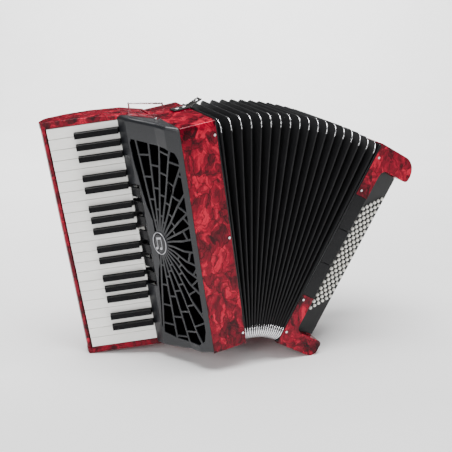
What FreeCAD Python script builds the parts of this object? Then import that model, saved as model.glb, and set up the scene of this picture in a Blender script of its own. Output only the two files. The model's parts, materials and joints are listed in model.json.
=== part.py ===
import FreeCAD, Part
import math
import os
import Sketcher
from FreeCAD import Placement, Rotation, Vector

# Piano accordion, standing with its bellows fanned open.
# Treble frame: x = 0 is the bellows side, -x runs to the keyboard, y = 0 is the front, z runs up
# the keyboard from its highest note to its lowest. Bass frame: the same, with +x running outwards.

SIZES = {
    # stance
    "treble_lean": -9.616, "stand_x": -5.3, "stand_y": -95.7, "stand_z": 49.7,
    # bellows fan
    "fan_angle": 38.5, "fan_radius": 99.5, "folds": 18, "fold_inset": 1.0, "fold_depth": 21.0,
    "fold_corner": 16.0, "fold_skin": 2.0, "fold_top": 425.0, "fold_top_drop": 7.0,
    # casings
    "depth": 185.0, "wall": 6.0, "treble_height": 427.0, "treble_width": 64.0,
    "bass_height": 420.0, "bass_width": 92.0, "frame_deep": 12.0, "frame_wide": 9.0, "gap": 0.3,
    # keyboard
    "key_pitch": 19.6, "key_gap": 1.0, "key_length": 123.0, "key_low": 5.5, "key_thick": 10.0,
    "key_tilt": 21.25, "root_x": -134.4, "root_y": 116.6, "axle_radius": 1.5, "axle_play": 0.05,
    "sharp_wide": 9.5, "sharp_length": 77.0, "sharp_rise": 9.5, "sharp_play": 0.8,
    "lever_radius": 1.5, "pallet_high": 8.2, "pallet_deep": 28.0, "pallet_front": 30.0,
    "cheek_wide": 11.8, "back_y": 192.0,
    # treble registers
    "tab_pitch": 27.35, "tab_high": 17.5, "tab_low": 139.8, "recess_low": 123.0, "recess_high": 321.0,
    # grille cover
    "cover_wall": 2.5, "rib_wide": 3.5, "badge_half": 14.5, "badge_tall": 22.0, "badge_z": 212.0, "badge_w": 31.0,
    # bass side
    "board_slant": 25.0, "board_x": 40.6, "board_y": 10.6, "button_radius": 3.4, "button_up": 4.0,
    "button_pitch": 14.2, "button_rows": 9.9, "button_shift": 6.8, "button_low": 84.6,
    "hook_low": 34.0, "hook_high": 378.0, "bar_low": 104.0, "bar_high": 316.0,
    "strap_wide": 66.0, "strap_thick": 3.0, "strap_front": 88.0, "strap_bow": 22.0,
}

WHITES = ["f", "g", "a", "b", "c", "d", "e"]
WHITE_COUNT = 22
SHARP_SHIFT = {"f": 2.0, "g": 0.0, "a": -2.0, "c": 1.4, "d": -1.4}
UP = Vector(0, 0, 1)
FRONT_AXIS = Vector(0, 1, 0)

doc = FreeCAD.newDocument("accordion")
sheet = doc.addObject("Spreadsheet::Sheet", "sizes")
finished = []


def fill_sheet():
    for row, (name, value) in enumerate(SIZES.items(), start=1):
        sheet.set(f"A{row}", name)
        sheet.set(f"B{row}", str(value))
        sheet.setAlias(f"B{row}", name)
    doc.recompute()


def size(name):
    return float(sheet.get(name))


# ---------------------------------------------------------------- frames

def treble_frame():
    foot = Vector(size("stand_x"), size("stand_y"), size("stand_z"))
    return Placement(foot, Rotation(FRONT_AXIS, size("treble_lean")))


def bass_frame():
    angle = math.radians(size("fan_angle"))
    radius = size("fan_radius")
    start = Vector(radius * math.sin(angle), 0, radius * math.cos(angle) - radius)
    return treble_frame() * Placement(start, Rotation(FRONT_AXIS, size("fan_angle")))


def board_frame():
    """The slanted button board: x across the rows, y along them, z out of the board."""
    slant = math.radians(size("board_slant"))
    across = Vector(math.cos(slant), math.sin(slant), 0)
    out = Vector(math.sin(slant), -math.cos(slant), 0)
    start = Vector(size("board_x"), size("board_y"), 0) - out * size("button_up")
    return Placement(start, Rotation(across, UP, out, "ZXY"))


def key_point(along, above):
    """A point of the keyboard: along the keys from their root, and above their white tops."""
    tilt = math.radians(size("key_tilt"))
    x = size("root_x") - along * math.cos(tilt) - above * math.sin(tilt)
    y = size("root_y") + along * math.sin(tilt) - above * math.cos(tilt)
    return (x, y)


def finish(item, label, frame):
    item.Label = label
    item.Placement = frame
    finished.append(item)
    return item


# ---------------------------------------------------------------- building blocks

def bind(item, **sizes):
    for name, text in sizes.items():
        item.setExpression(name, str(text))
    return item


def shift(item, x, y, z):
    item.setExpression("Placement.Base.x", str(x))
    item.setExpression("Placement.Base.y", str(y))
    item.setExpression("Placement.Base.z", str(z))
    return item


def box(x, y, z, length, width, height, turn=0.0):
    item = doc.addObject("Part::Box", "box")
    item.Placement = Placement(Vector(), Rotation(UP, turn))
    bind(item, Length=length, Width=width, Height=height)
    return shift(item, x, y, z)


def rod(start, end, radius):
    item = doc.addObject("Part::Cylinder", "rod")
    run = Vector(*end) - Vector(*start)
    item.Placement = Placement(Vector(*start), Rotation(UP, run))
    return bind(item, Radius=radius, Height=run.Length)


def fuse(items):
    item = doc.addObject("Part::MultiFuse", "union")
    item.Shapes = items
    item.Refine = True
    return item


def cut(base, tool):
    item = doc.addObject("Part::Cut", "cut")
    item.Base = base
    item.Tool = tool
    return item


def group(items):
    item = doc.addObject("Part::Compound", "pieces")
    item.Links = items
    return item


def rounded(base, radius, wanted):
    """Fillet the edges of a solid whose middle point passes the test."""
    doc.recompute()
    item = doc.addObject("Part::Fillet", "rounding")
    item.Base = base
    edges = enumerate(base.Shape.Edges, start=1)
    item.Edges = [(index, radius, radius) for index, edge in edges if wanted(edge)]
    return item


def middle(edge):
    return edge.valueAt((edge.FirstParameter + edge.LastParameter) / 2)


def outline(sketch, points):
    """A closed outline; every corner is held by its two distances from the origin."""
    count = len(points)
    start = [Vector(math.cos(k * math.tau / count), math.sin(k * math.tau / count)) * 50 for k in range(count)]
    for index in range(count):
        sketch.addGeometry(Part.LineSegment(start[index], start[(index + 1) % count]))
    for index in range(count):
        sketch.addConstraint(Sketcher.Constraint("Coincident", index, 2, (index + 1) % count, 1))
    for index, (across, along) in enumerate(points):
        for kind, text, value in (("DistanceX", across, start[index].x), ("DistanceY", along, start[index].y)):
            name = sketch.addConstraint(Sketcher.Constraint(kind, -1, 1, index, 1, value))
            sketch.setExpression(f"Constraints[{name}]", str(text))


def plane(body, role):
    return next(item for item in body.Origin.OriginFeatures if item.Role == role)


def attach(body, role, height):
    sketch = body.newObject("Sketcher::SketchObject", "outline")
    sketch.AttachmentSupport = (plane(body, role), [""])
    sketch.MapMode = "FlatFace"
    sketch.setExpression(".AttachmentOffset.Base.z", str(height))
    return sketch


def pad(body, points, low, high, role="XY_Plane"):
    """Raise an outline from low to high along the plane's axis."""
    flip = role == "XZ_Plane"
    sketch = attach(body, role, f"-({high})" if flip else low)
    outline(sketch, points)
    item = body.newObject("PartDesign::Pad", "pad")
    item.Profile = sketch
    item.setExpression("Length", f"({high}) - ({low})")
    doc.recompute()
    return item


def pocket(body, points, low, high, role="XY_Plane"):
    """Cut an outline away between low and high along the plane's axis."""
    before = body.Shape.Volume
    flip = role == "XZ_Plane"
    sketch = attach(body, role, f"-({low})" if flip else high)
    outline(sketch, points)
    item = body.newObject("PartDesign::Pocket", "pocket")
    item.Profile = sketch
    item.setExpression("Length", f"({high}) - ({low})")
    doc.recompute()
    if body.Shape.Volume >= before:
        raise RuntimeError("a pocket missed its solid")
    return item


def new_body(name):
    return doc.addObject("PartDesign::Body", name)


def rectangle(x0, y0, x1, y1):
    return [(x0, y0), (x1, y0), (x1, y1), (x0, y1)]


def soften(body, radius, wanted):
    """A PartDesign fillet on the edges that pass the test."""
    tip = body.Tip
    names = [f"Edge{k}" for k, edge in enumerate(tip.Shape.Edges, start=1) if wanted(edge)]
    item = body.newObject("PartDesign::Fillet", "fillet")
    item.Base = (tip, names)
    item.Radius = radius
    doc.recompute()
    return item


def runs_along(edge, axis):
    if edge.Curve.TypeId != "Part::GeomLine":
        return False
    return abs(abs(edge.Curve.Direction.dot(axis)) - 1) < 1e-4


# ---------------------------------------------------------------- casings and frames

TREBLE_PINS = (24.0, 214.0, 402.0)
BASS_PINS = (26.5, 95.0, 325.5, 393.7)


def pin_set(x, heights, radius, head, reach):
    """Pins from the front and the back through the casing wall into the bellows frame."""
    depth = size("depth")
    pieces = []
    for z in heights:
        for y, inwards in ((0.0, 1.0), (depth, -1.0)):
            shank = rod((x, y - 0.1 * inwards, z), (x, y + reach * inwards, z), radius)
            if head:
                cap = rod((x, y - 1.4 * inwards, z), (x, y - 0.1 * inwards, z), head)
                pieces.append(fuse([shank, cap]))
            else:
                pieces.append(shank)
    return pieces


def treble_casing(frame):
    high = "sizes.treble_height"
    outer = box("-sizes.treble_width", 0, 0, "sizes.treble_width", "sizes.depth", high)
    outer = rounded(outer, 3.0, lambda edge: runs_along(edge, Vector(1, 0, 0)))
    inner = box("-sizes.treble_width - 1", "sizes.wall", "sizes.wall", "sizes.treble_width + 2",
                "sizes.depth - 2 * sizes.wall", f"{high} - 2 * sizes.wall")
    holes = group(pin_set(-4.0, TREBLE_PINS, 1.15, 0, 12.0))
    finish(cut(cut(outer, inner), holes), "treble_casing", frame)


def ring_frame(x, high, holes):
    """A wooden frame that fits inside the open end of a casing."""
    start = "sizes.wall + sizes.gap"
    outer = box(x, start, start, "sizes.frame_deep", f"sizes.depth - 2 * ({start})", f"{high} - 2 * ({start})")
    edge = f"{start} + sizes.frame_wide"
    inner = box(f"{x} - 1", edge, edge, "sizes.frame_deep + 2", f"sizes.depth - 2 * ({edge})",
                f"{high} - 2 * ({edge})")
    return cut(cut(outer, inner), holes)


def bellows_frames(treble, bass):
    holes = group(pin_set(-4.0, TREBLE_PINS, 1.15, 0, 12.0))
    finish(ring_frame("-sizes.frame_deep", "sizes.treble_height", holes), "treble_bellows_frame", treble)
    holes = group(pin_set(6.0, BASS_PINS, 1.15, 0, 12.0))
    finish(ring_frame("0", "sizes.bass_height", holes), "bass_bellows_frame", bass)
    finish(group(pin_set(-4.0, TREBLE_PINS, 1.1, 2.2, 11.0)), "treble_bellows_pins", treble)
    finish(group(pin_set(6.0, BASS_PINS, 1.1, 2.2, 11.0)), "bass_bellows_pins", bass)


def reed_blocks(xs, low, high, front, count, pitch):
    """Tapered wooden blocks that stand side by side on a foundation board."""
    pieces = []
    for index in range(count):
        body = new_body("reed_block")
        y = front + index * pitch
        points = [(xs[0], y), (xs[0], y + 24), (xs[1], y + 17), (xs[1], y + 7)]
        pad(body, points, low, high)
        pieces.append(body)
    return group(pieces)


# ---------------------------------------------------------------- bellows

def ring_points(turn, inset, corner):
    """The corners of one fold line, a rectangle with cut corners in a plane through the fan's axis."""
    share = turn / math.radians(size("fan_angle"))
    low = size("fan_radius") + inset
    high = size("fan_radius") + size("fold_top") - share * size("fold_top_drop") - inset
    back = size("depth") - inset
    flat = [(low + corner, inset), (high - corner, inset), (high, inset + corner), (high, back - corner),
            (high - corner, back), (low + corner, back), (low, back - corner), (low, inset + corner)]
    radius = size("fan_radius")
    return [Vector(r * math.sin(turn), y, r * math.cos(turn) - radius) for r, y in flat]


def fold_line(index, deeper):
    turn = math.radians(size("fan_angle")) * index / (2 * int(size("folds")))
    if index % 2:
        inset = size("fold_inset")
    elif index in (0, 2 * int(size("folds"))):
        inset = size("wall") + 2.0
    else:
        inset = size("fold_depth")
    return ring_points(turn, inset + deeper, size("fold_corner") - 0.4 * deeper)


def bellows_folds(frame):
    lines = range(2 * int(size("folds")) + 1)
    outer = [fold_line(index, 0.0) for index in lines]
    inner = [fold_line(index, size("fold_skin")) for index in lines]
    faces = []

    def quad(first, second, third, fourth):
        faces.append(Part.Face(Part.makePolygon([first, second, third, first])))
        faces.append(Part.Face(Part.makePolygon([first, third, fourth, first])))

    for skin in (outer, inner):
        for line, following in zip(skin, skin[1:]):
            for k in range(8):
                nxt = (k + 1) % 8
                quad(line[k], line[nxt], following[nxt], following[k])
    for end in (0, -1):
        for k in range(8):
            nxt = (k + 1) % 8
            quad(outer[end][k], outer[end][nxt], inner[end][nxt], inner[end][k])
    shell = Part.Shell(faces)
    shell.sewShape()
    item = doc.addObject("Part::Feature", "folds")
    solid = Part.Solid(shell)
    if solid.Volume < 0:
        solid.reverse()
    item.Shape = solid
    finish(item, "bellows_folds", frame)


def corner_piece(turn, corner_index, half_wide):
    """A bent metal strip that wraps one cut corner of a ridge."""
    near = ring_points(turn, size("fold_inset") - 0.25, size("fold_corner"))
    far = ring_points(turn, size("fold_inset") - 1.0, size("fold_corner") + 0.3)
    first, second = corner_index, (corner_index + 1) % 8
    before, after = (corner_index - 1) % 8, (corner_index + 2) % 8

    def towards(points, start, end, length):
        return points[start] + (points[end] - points[start]).normalize() * length

    reach = 9.0
    path = [towards(near, first, before, reach), near[first], near[second], towards(near, second, after, reach),
            towards(far, second, after, reach), far[second], far[first], towards(far, first, before, reach)]
    normal = Vector(math.cos(turn), 0, -math.sin(turn))
    path = [point - normal * half_wide for point in path]
    return Part.Face(Part.makePolygon(path + [path[0]])).extrude(normal * 2 * half_wide)


def bellows_corners(frame):
    folds = int(size("folds"))
    pieces = []
    for fold in range(folds):
        turn = math.radians(size("fan_angle")) * (fold + 0.5) / folds
        for corner, half_wide in ((1, 2.2), (3, 2.2), (5, 1.1), (7, 1.1)):
            pieces.append(corner_piece(turn, corner, half_wide))
    item = doc.addObject("Part::Feature", "corners")
    item.Shape = Part.makeCompound(pieces)
    finish(item, "bellows_corners", frame)


def bellows_straps(frame):
    """Unsnapped leather straps, one on top of the treble casing and one below it."""
    top = new_body("top_strap")
    points = [(-30, 427.2), (-4, 427.2), (26, 437), (25, 439), (-4, 429.7), (-30, 429.7)]
    pad(top, points, 112, 134, "XZ_Plane")
    finish(top, "top_bellows_strap", frame)
    bottom = new_body("bottom_strap")
    points = [(-34, -0.2), (4, -0.2), (4, -7.2), (-20, -7.2), (-20, -4.8), (1.6, -4.8), (1.6, -2.6), (-34, -2.6)]
    pad(bottom, points, 82, 104, "XZ_Plane")
    finish(bottom, "bottom_bellows_strap", frame)


# ---------------------------------------------------------------- keyboard

def white_top(index):
    return size("key_low") + size("key_pitch") * (WHITE_COUNT - index)


def sharp_after(index):
    """Height of the black key below white key number index, or None."""
    name = WHITES[index % 7]
    if name not in SHARP_SHIFT or not 0 <= index < WHITE_COUNT - 1:
        return None
    return white_top(index + 1) + SHARP_SHIFT[name]


def key_box(along, above, z, length, thick, high):
    x, y = key_point(along, above)
    return box(x, y, z, length, thick, high, 180 - size("key_tilt"))


def key_action(z):
    """The rear of a key, its lever and its pallet on the foundation board."""
    rear = key_box(-14, -14, z - 4, 11.5, 10, 8)
    reach = 0.94
    pallet_z = size("treble_height") / 2 + reach * (z - white_top(11))
    x, y = key_point(-12, -8.5)
    lever = rod((x, y, z), (-70.0, 44.0, pallet_z), "sizes.lever_radius")
    pallet = box("-sizes.treble_width - 8.15", "sizes.pallet_front", f"{pallet_z} - sizes.pallet_high / 2",
                 8, "sizes.pallet_deep", "sizes.pallet_high")
    return [rear, lever, pallet]


def axle_rod(radius):
    x, y = key_point(-9, -9)
    return rod((x, y, -3), (x, y, 445), radius)


def white_key(index):
    top = white_top(index) - size("key_gap") / 2
    bottom = white_top(index + 1) + size("key_gap") / 2
    notch = size("sharp_wide") / 2 + size("sharp_play")
    above = sharp_after(index - 1)
    below = sharp_after(index)
    tail_top = above - notch if above is not None else top
    tail_bottom = below + notch if below is not None else bottom
    under = -size("key_thick")
    start = size("sharp_length") + 1
    head = key_box(start, under, bottom, f"sizes.key_length - {start}", "sizes.key_thick", top - bottom)
    tail = key_box(-3, under, tail_bottom, "sizes.sharp_length + 5", "sizes.key_thick", tail_top - tail_bottom)
    return fuse([head, tail] + key_action((tail_top + tail_bottom) / 2))


def black_key(z):
    low = f"{z} - sizes.sharp_wide / 2"
    block = key_box(0, -2, low, "sizes.sharp_length", "sizes.sharp_rise + 2", "sizes.sharp_wide")
    stick = key_box(-3, -size("key_thick"), low, "sizes.sharp_length + 3", "sizes.key_thick - 2", "sizes.sharp_wide")
    return fuse([block, stick] + key_action(z))


def keys(frame):
    sets = {}
    for index in range(WHITE_COUNT):
        name = WHITES[index % 7]
        sets.setdefault(f"keys_{name}", []).append(white_key(index))
        z = sharp_after(index)
        if z is not None:
            sets.setdefault(f"keys_{name}_sharp", []).append(black_key(z))
    for label, members in sets.items():
        bored = [cut(member, axle_rod("sizes.axle_radius + sizes.axle_play")) for member in members]
        finish(group(bored), label, frame)


def end_profile():
    """Everything above the sloping top of the keyboard's upper end, seen from the front."""
    return [(-60, 427), (-64, 428), (-106, 440), (-160, 446.5), (-205, 449), (-270, 449), (-270, 460), (-60, 460)]


def cheek_outline():
    tip = key_point(131.5, 0.9)
    start = key_point(-75.2, 0.9)
    return [(-64.3, start[1]), tip, (tip[0], tip[1] + 14), (-243, "sizes.back_y + 1"), (-64.3, "sizes.back_y - 5")]


def keyboard(frame):
    points = cheek_outline()
    cheeks = []
    for low, high in (("sizes.key_low - 0.5 - sizes.cheek_wide", "sizes.key_low - 0.5"), (437.2, 452)):
        body = new_body("cheek")
        pad(body, points, low, high)
        if low == 437.2:
            pocket(body, end_profile(), -1, 230, "XZ_Plane")
        soften(body, 11, lambda edge: runs_along(edge, UP) and middle(edge).x < -240 and middle(edge).y > 170)
        cheeks.append(body)
    hip = new_body("hip")
    pad(hip, [(-106, 105.4), (-64.3, 89.3), (-64.3, 118.6), (-106, 123)], 424, 452)
    pocket(hip, end_profile(), -1, 230, "XZ_Plane")
    pocket(hip, rectangle(-120, 80, -95, 200), 437.1, 460)
    cheeks.append(hip)
    finish(group(cheeks), "keyboard_cheeks", frame)

    bed = new_body("bed")
    inner = key_point(-24, -18.4)
    points = [(-64.3, 119), inner, key_point(125.6, -18.4), key_point(125.6, -1), key_point(131, -1),
              (-256.6, 177), (-243, "sizes.back_y"), (-64.3, "sizes.back_y - 6")]
    pad(bed, points, "sizes.key_low - 0.3", 437)
    hollow = [(-71, 126), (-105, 131), (-200, 168), (-222, 184), (-71, 179)]
    pocket(bed, hollow, "sizes.key_low + 6", 431)
    pocket(bed, end_profile(), -1, 230, "XZ_Plane")
    soften(bed, 11, lambda edge: runs_along(edge, UP) and middle(edge).x < -240 and middle(edge).y > 170)
    finish(bed, "keyboard_bed", frame)

    x, y = key_point(-9, -9)
    finish(group([rod((x, y, 5.4), (x, y, 437.0), "sizes.axle_radius")]), "key_axle", frame)


# ---------------------------------------------------------------- grille cover

COVER = [(-64.3, 1.5), (-84.0, 20.0), (-93.0, 43.5), (-127.0, 94.0), (-133.9, 115.1), (-64.3, 88.1)]


def panel_frame():
    """The widest panel of the cover: x across it from the keyboard side, y up, z outwards."""
    across = (Vector(*COVER[2], 0) - Vector(*COVER[3], 0)).normalize()
    out = across.cross(UP)
    return Placement(Vector(*COVER[3], 0), Rotation(across, UP, out, "ZXY"))


def moved_in(points, distance):
    """The corners of an open outline, moved to its right-hand side by a distance."""
    lines = []
    for start, end in zip(points, points[1:]):
        run = (end - start).normalize()
        lines.append((start + run.cross(UP) * distance, run))
    moved = [lines[0][0]]
    for (place, run), (other, turn) in zip(lines, lines[1:]):
        reach = (other - place).cross(turn).z / run.cross(turn).z
        moved.append(place + run * reach)
    moved.append(lines[-1][0] + lines[-1][1] * (points[-1] - points[-2]).Length)
    return moved


def cover_solid(points, inset, radius):
    """The block under the cover's skin, with sloping ends and rounded edges."""
    def on_skin(edge):
        place = middle(edge)
        flat = Vector(place.x, place.y, 0)
        sides = zip(points[:4], points[1:5])
        return any(flat.distanceToLine(a, b - a) < 0.2 and a.y - 1 < flat.y < b.y + 1 for a, b in sides)

    body = new_body("cover")
    pad(body, [(point.x, point.y) for point in points], -10, 450)
    top = [(-50, 423.3 - inset), (-150, 450.8 - inset), (-150, 470), (-50, 470)]
    bottom = [(-50, 0.6 + inset), (-150, -5.6 + inset), (-150, -30), (-50, -30)]
    pocket(body, top, -1, 200, "XZ_Plane")
    pocket(body, bottom, -1, 200, "XZ_Plane")
    if radius:
        soften(body, radius, lambda edge: 8 < middle(edge).y < 100 if runs_along(edge, UP) else on_skin(edge))
    return body


def cover_shell():
    wall = size("cover_wall")
    skin = [Vector(*point, 0) for point in COVER]
    inner = moved_in(skin[:5], wall)
    inner = [inner[0] + Vector(8, -6, 0)] + inner[1:4] + [inner[4] + (inner[4] - inner[3]).normalize() * 8]
    inner.append(Vector(-56.3, skin[5].y + 8, 0))
    return cut(cover_solid(skin, 0, 6.5), cover_solid(inner, wall, 0))


def web_box(x, y, length, high, turn):
    """A straight rib of the web, a bar that passes through the panel."""
    item = doc.addObject("Part::Box", "rib")
    bind(item, Length=length, Width=high, Height=30)
    lift = Placement(Vector(0, -high / 2, -18), Rotation())
    item.Placement = Placement(Vector(x, y, 0), Rotation(UP, turn)) * lift
    return item


def web_ribs():
    """Ribs that fan out from the badge, and short bars that join neighbours like a spider's web."""
    x = size("badge_w")
    y = size("badge_z")
    wide = size("rib_wide")
    upper = [94.5, 86.5, 79.5, 72, 64, 54, 42, 28, 12]
    lower = [-98.5, -89.5, -81.5, -72.5, -63, -52, -40, -26, -8]
    ribs = []
    for angle in upper + lower:
        ribs.append(web_box(x, y, 260, wide, angle))
    for fan in (upper, lower):
        for index, (first, second) in enumerate(zip(fan, fan[1:])):
            for step in (44, 84, 126, 166):
                reach = step + 11 * ((index * 2) % 3)
                start = Vector(x + reach * math.cos(math.radians(first)), y + reach * math.sin(math.radians(first)))
                end = Vector(x + reach * math.cos(math.radians(second)), y + reach * math.sin(math.radians(second)))
                run = end - start
                turn = math.degrees(math.atan2(run.y, run.x))
                ribs.append(web_box(start.x, start.y, run.Length, wide * 0.9, turn))
    return ribs


def oval(margin, high):
    """An upright oval disc, larger than the badge by a margin."""
    rim = doc.addObject("Part::Ellipse", "rim")
    bind(rim, MajorRadius=f"sizes.badge_tall + {margin}", MinorRadius=f"sizes.badge_half + {margin}")
    rim.Placement = Placement(Vector(), Rotation(UP, 90))
    disc = doc.addObject("Part::Extrusion", "disc")
    disc.Base = rim
    disc.Dir = UP
    disc.Solid = True
    disc.LengthFwd = high
    return disc


def grille(frame):
    shell = cover_shell()
    across = panel_frame()
    window = new_body("window")
    points = [(1, 40), (6, 27), (30, 20), (60, 16), (86, 16), (97, 24), (101.7, 44), (101.7, 372), (97, 384),
              (80, 392), (30, 401), (6, 405), (2, 398), (4, 361), (7.5, 337), (10, 316), (15.5, 282), (23, 254),
              (23, 172), (17.5, 160), (11.5, 130), (8, 90), (5, 66)]
    pad(window, points, -14, 9)
    hub = oval(1.5, 30)
    hub.Placement = Placement(Vector(size("badge_w"), size("badge_z"), -18), Rotation())
    cells = cut(window, fuse([hub] + web_ribs()))
    cells.Placement = across
    recess = box(-150, 86, "sizes.recess_low", 27.5, 60, "sizes.recess_high - sizes.recess_low")
    finish(cut(cut(shell, cells), recess), "grille_cover", frame)

    inset = 4.2
    mesh = new_body("mesh")
    across_x = across.Rotation.multVec(Vector(1, 0, 0))
    out = across.Rotation.multVec(Vector(0, 0, 1))
    low_edge = Vector(*COVER[3], 0) - across_x - out * inset
    ridge = Vector(*COVER[2], 0) - out * inset + across_x * 0.6
    crest = Vector(*COVER[1], 0) + Vector(4.2, 1.6, 0)
    far = Vector(-68.6, 12.2, 0)
    thin = Vector(0.8, 0.5, 0)
    points = [low_edge, ridge, crest, far, far + thin, crest + thin, ridge + thin, low_edge + thin]
    pad(mesh, [(point.x, point.y) for point in points], 8, 418)
    pocket(mesh, [(-150, 60), (-118.5, 60), (-118.5, 140), (-150, 140)], 121.5, 322.5)
    finish(mesh, "grille_mesh", frame)

    centre = across.multVec(Vector(size("badge_w"), size("badge_z"), 0.1))
    badge = oval(0, 2.0)
    badge.Placement = Placement(centre, across.Rotation)
    finish(group([badge]), "grille_badge", frame)

    studs = [rod((-79, 70, 432.2), (-79, 70, 436.2), 3.2), rod((-79, 70, -2.0), (-79, 70, -6.0), 3.2)]
    finish(group(studs), "cover_studs", frame)


# ---------------------------------------------------------------- treble registers

TAB = [(-116.2, 92.5), (-119.5, 90.3), (-124.5, 96.5), (-131.3, 113.5), (-127.8, 114.7), (-121.8, 100), (-117, 96.8)]
TAB_AXIS = (-119.0, 93.6)


def treble_registers(frame):
    for number in range(7):
        body = new_body("tab")
        centre = f"sizes.tab_low + {number} * sizes.tab_pitch"
        pad(body, TAB, f"{centre} - sizes.tab_high / 2", f"{centre} + sizes.tab_high / 2")
        bore = rod((*TAB_AXIS, 100), (*TAB_AXIS, 340), 1.06)
        finish(cut(body, bore), f"treble_register_{number + 1}", frame)
    back = new_body("register_back")
    points = [(-113.5, 97), (-120.5, 111), (-118.5, 112), (-111.5, 98)]
    pad(back, points, "sizes.recess_low + 0.6", "sizes.recess_high - 0.6")
    ears = []
    for number in range(8):
        z = size("tab_low") + (number - 0.5) * size("tab_pitch") - 3.5
        ears.append(box(-121, 91.8, z, 9.2, 9.0, 7.0))
    axle = rod((*TAB_AXIS, size("recess_low") + 0.6), (*TAB_AXIS, size("recess_high") - 0.6), 1.0)
    finish(fuse([back, axle] + ears), "register_frame", frame)


# ---------------------------------------------------------------- treble inside

def treble_inside(frame):
    board = box("-sizes.treble_width", "sizes.wall + sizes.gap", "sizes.wall + sizes.gap", "sizes.wall",
                "sizes.depth - 2 * (sizes.wall + sizes.gap)", "sizes.treble_height - 2 * (sizes.wall + sizes.gap)")
    holes = []
    for index in range(WHITE_COUNT):
        z = white_top(index) - size("key_pitch") / 2
        pallet_z = size("treble_height") / 2 + 0.94 * (z - white_top(11))
        holes.append(box("-sizes.treble_width - 1", "sizes.pallet_front + 5", pallet_z - 3, 9, 18, 5))
    finish(cut(board, group(holes)), "foundation_board", frame)
    finish(reed_blocks((-57.7, -15.0), 24, 403, 16, 4, 40.0), "treble_reed_blocks", frame)


def strap_brackets(frame):
    y = 172.0
    top = fuse([rod((-93, y, 436.6), (-93, y, 448), 1.5), rod((-30, y, 427.2), (-30, y, 434), 1.5),
                rod((-93, y, 447), (-30, y, 433), 1.5)])
    lower = fuse([rod((-50, y, -0.2), (-50, y, -11), 1.5), rod((-20, y, -0.2), (-20, y, -11), 1.5),
                  rod((-52.2, y, -11), (-17.8, y, -11), 1.8)])
    finish(group([top, lower]), "strap_brackets", frame)


# ---------------------------------------------------------------- bass side

def bass_casing(frame):
    body = new_body("bass_box")
    pad(body, rectangle(0, 0, "sizes.bass_width", "sizes.bass_height"), 0, "sizes.depth", "XZ_Plane")
    soften(body, 30, lambda edge: runs_along(edge, FRONT_AXIS) and middle(edge).x > 80 and middle(edge).z > 400)
    soften(body, 16, lambda edge: runs_along(edge, FRONT_AXIS) and middle(edge).x > 80 and middle(edge).z < 10)
    low, high = "sizes.wall", "sizes.bass_height - sizes.wall"
    pocket(body, rectangle(-1, "sizes.wall", 16.3, "sizes.depth - sizes.wall"), low, high)
    pocket(body, rectangle(16, 15, 31, "sizes.depth - sizes.wall"), low, high)
    pocket(body, rectangle(31, 41, "sizes.bass_width - 6", "sizes.depth - sizes.wall"), 12, 402)
    pocket(body, rectangle(31, 4, "sizes.bass_width - 6", 42), "sizes.hook_low + 6", "sizes.hook_high - 6")
    slant = math.tan(math.radians(size("board_slant")))
    face = board_frame().multVec(Vector(0, 0, -3.2))
    edge_y = face.y + (96 - face.x) * slant
    start_y = face.y + (26.5 - face.x) * slant
    wedge = [(26.5, -1), (96, -1), (96, edge_y), (26.5, start_y)]
    pocket(body, wedge, "sizes.hook_low", "sizes.hook_high")
    hooks = (size("hook_low"), size("hook_high"))

    def at_hook(edge, x):
        place = middle(edge)
        return runs_along(edge, FRONT_AXIS) and abs(place.x - x) < 0.6 and min(abs(place.z - z) for z in hooks) < 0.1

    soften(body, 14, lambda edge: at_hook(edge, 26.5))
    soften(body, 8, lambda edge: at_hook(edge, size("bass_width")))
    pocket(body, rectangle(-1, -1, 26.6, 11.3), "sizes.bar_low", "sizes.bar_high")
    pocket(body, rectangle("sizes.bass_width - 7", 58, "sizes.bass_width + 1", "sizes.depth - 14"), 40, 376)
    pocket(body, rectangle("sizes.bass_width - 20", 106, "sizes.bass_width + 1", 134), 383.8, 402.5)
    holes = group(pin_set(6.0, BASS_PINS, 1.15, 0, 12.0))
    finish(cut(body, holes), "bass_casing", frame)


def button_board(frame):
    place = frame * board_frame()
    body = new_body("board")
    pad(body, rectangle(-12.0, "sizes.hook_low + 0.3", 58.3, "sizes.hook_high - 0.3"), -3, 0)
    soften(body, 14.5, lambda edge: runs_along(edge, UP) and middle(edge).x < 0)
    for row in range(6):
        sketch = attach(body, "XY_Plane", 0)
        circle = sketch.addGeometry(Part.Circle(Vector(row * 9.9, 90), UP, 3.75))
        sketch.addConstraint(Sketcher.Constraint("Radius", circle, 3.75))
        sketch.setExpression("Constraints[0]", "sizes.button_radius + 0.35")
        sketch.addConstraint(Sketcher.Constraint("DistanceX", -1, 1, circle, 3, row * 9.9))
        sketch.setExpression("Constraints[1]", f"sizes.button_rows * {row}")
        sketch.addConstraint(Sketcher.Constraint("DistanceY", -1, 1, circle, 3, 90))
        sketch.setExpression("Constraints[2]", f"sizes.button_low + sizes.button_shift * {row}")
        hole = body.newObject("PartDesign::Pocket", "hole")
        hole.Profile = sketch
        hole.Length = 5
        row_pattern(body, [hole])
    finish(body, "bass_button_board", place)


def row_pattern(body, features):
    pattern = body.newObject("PartDesign::LinearPattern", "row")
    pattern.Originals = features
    axis = next(item for item in body.Origin.OriginFeatures if item.Role == "Y_Axis")
    pattern.Direction = (axis, [""])
    pattern.Occurrences = 16
    pattern.setExpression("Length", "15 * sizes.button_pitch")
    body.Tip = pattern
    doc.recompute()


ROWS = ("counter_bass", "bass", "major", "minor", "seventh", "diminished")


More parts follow.
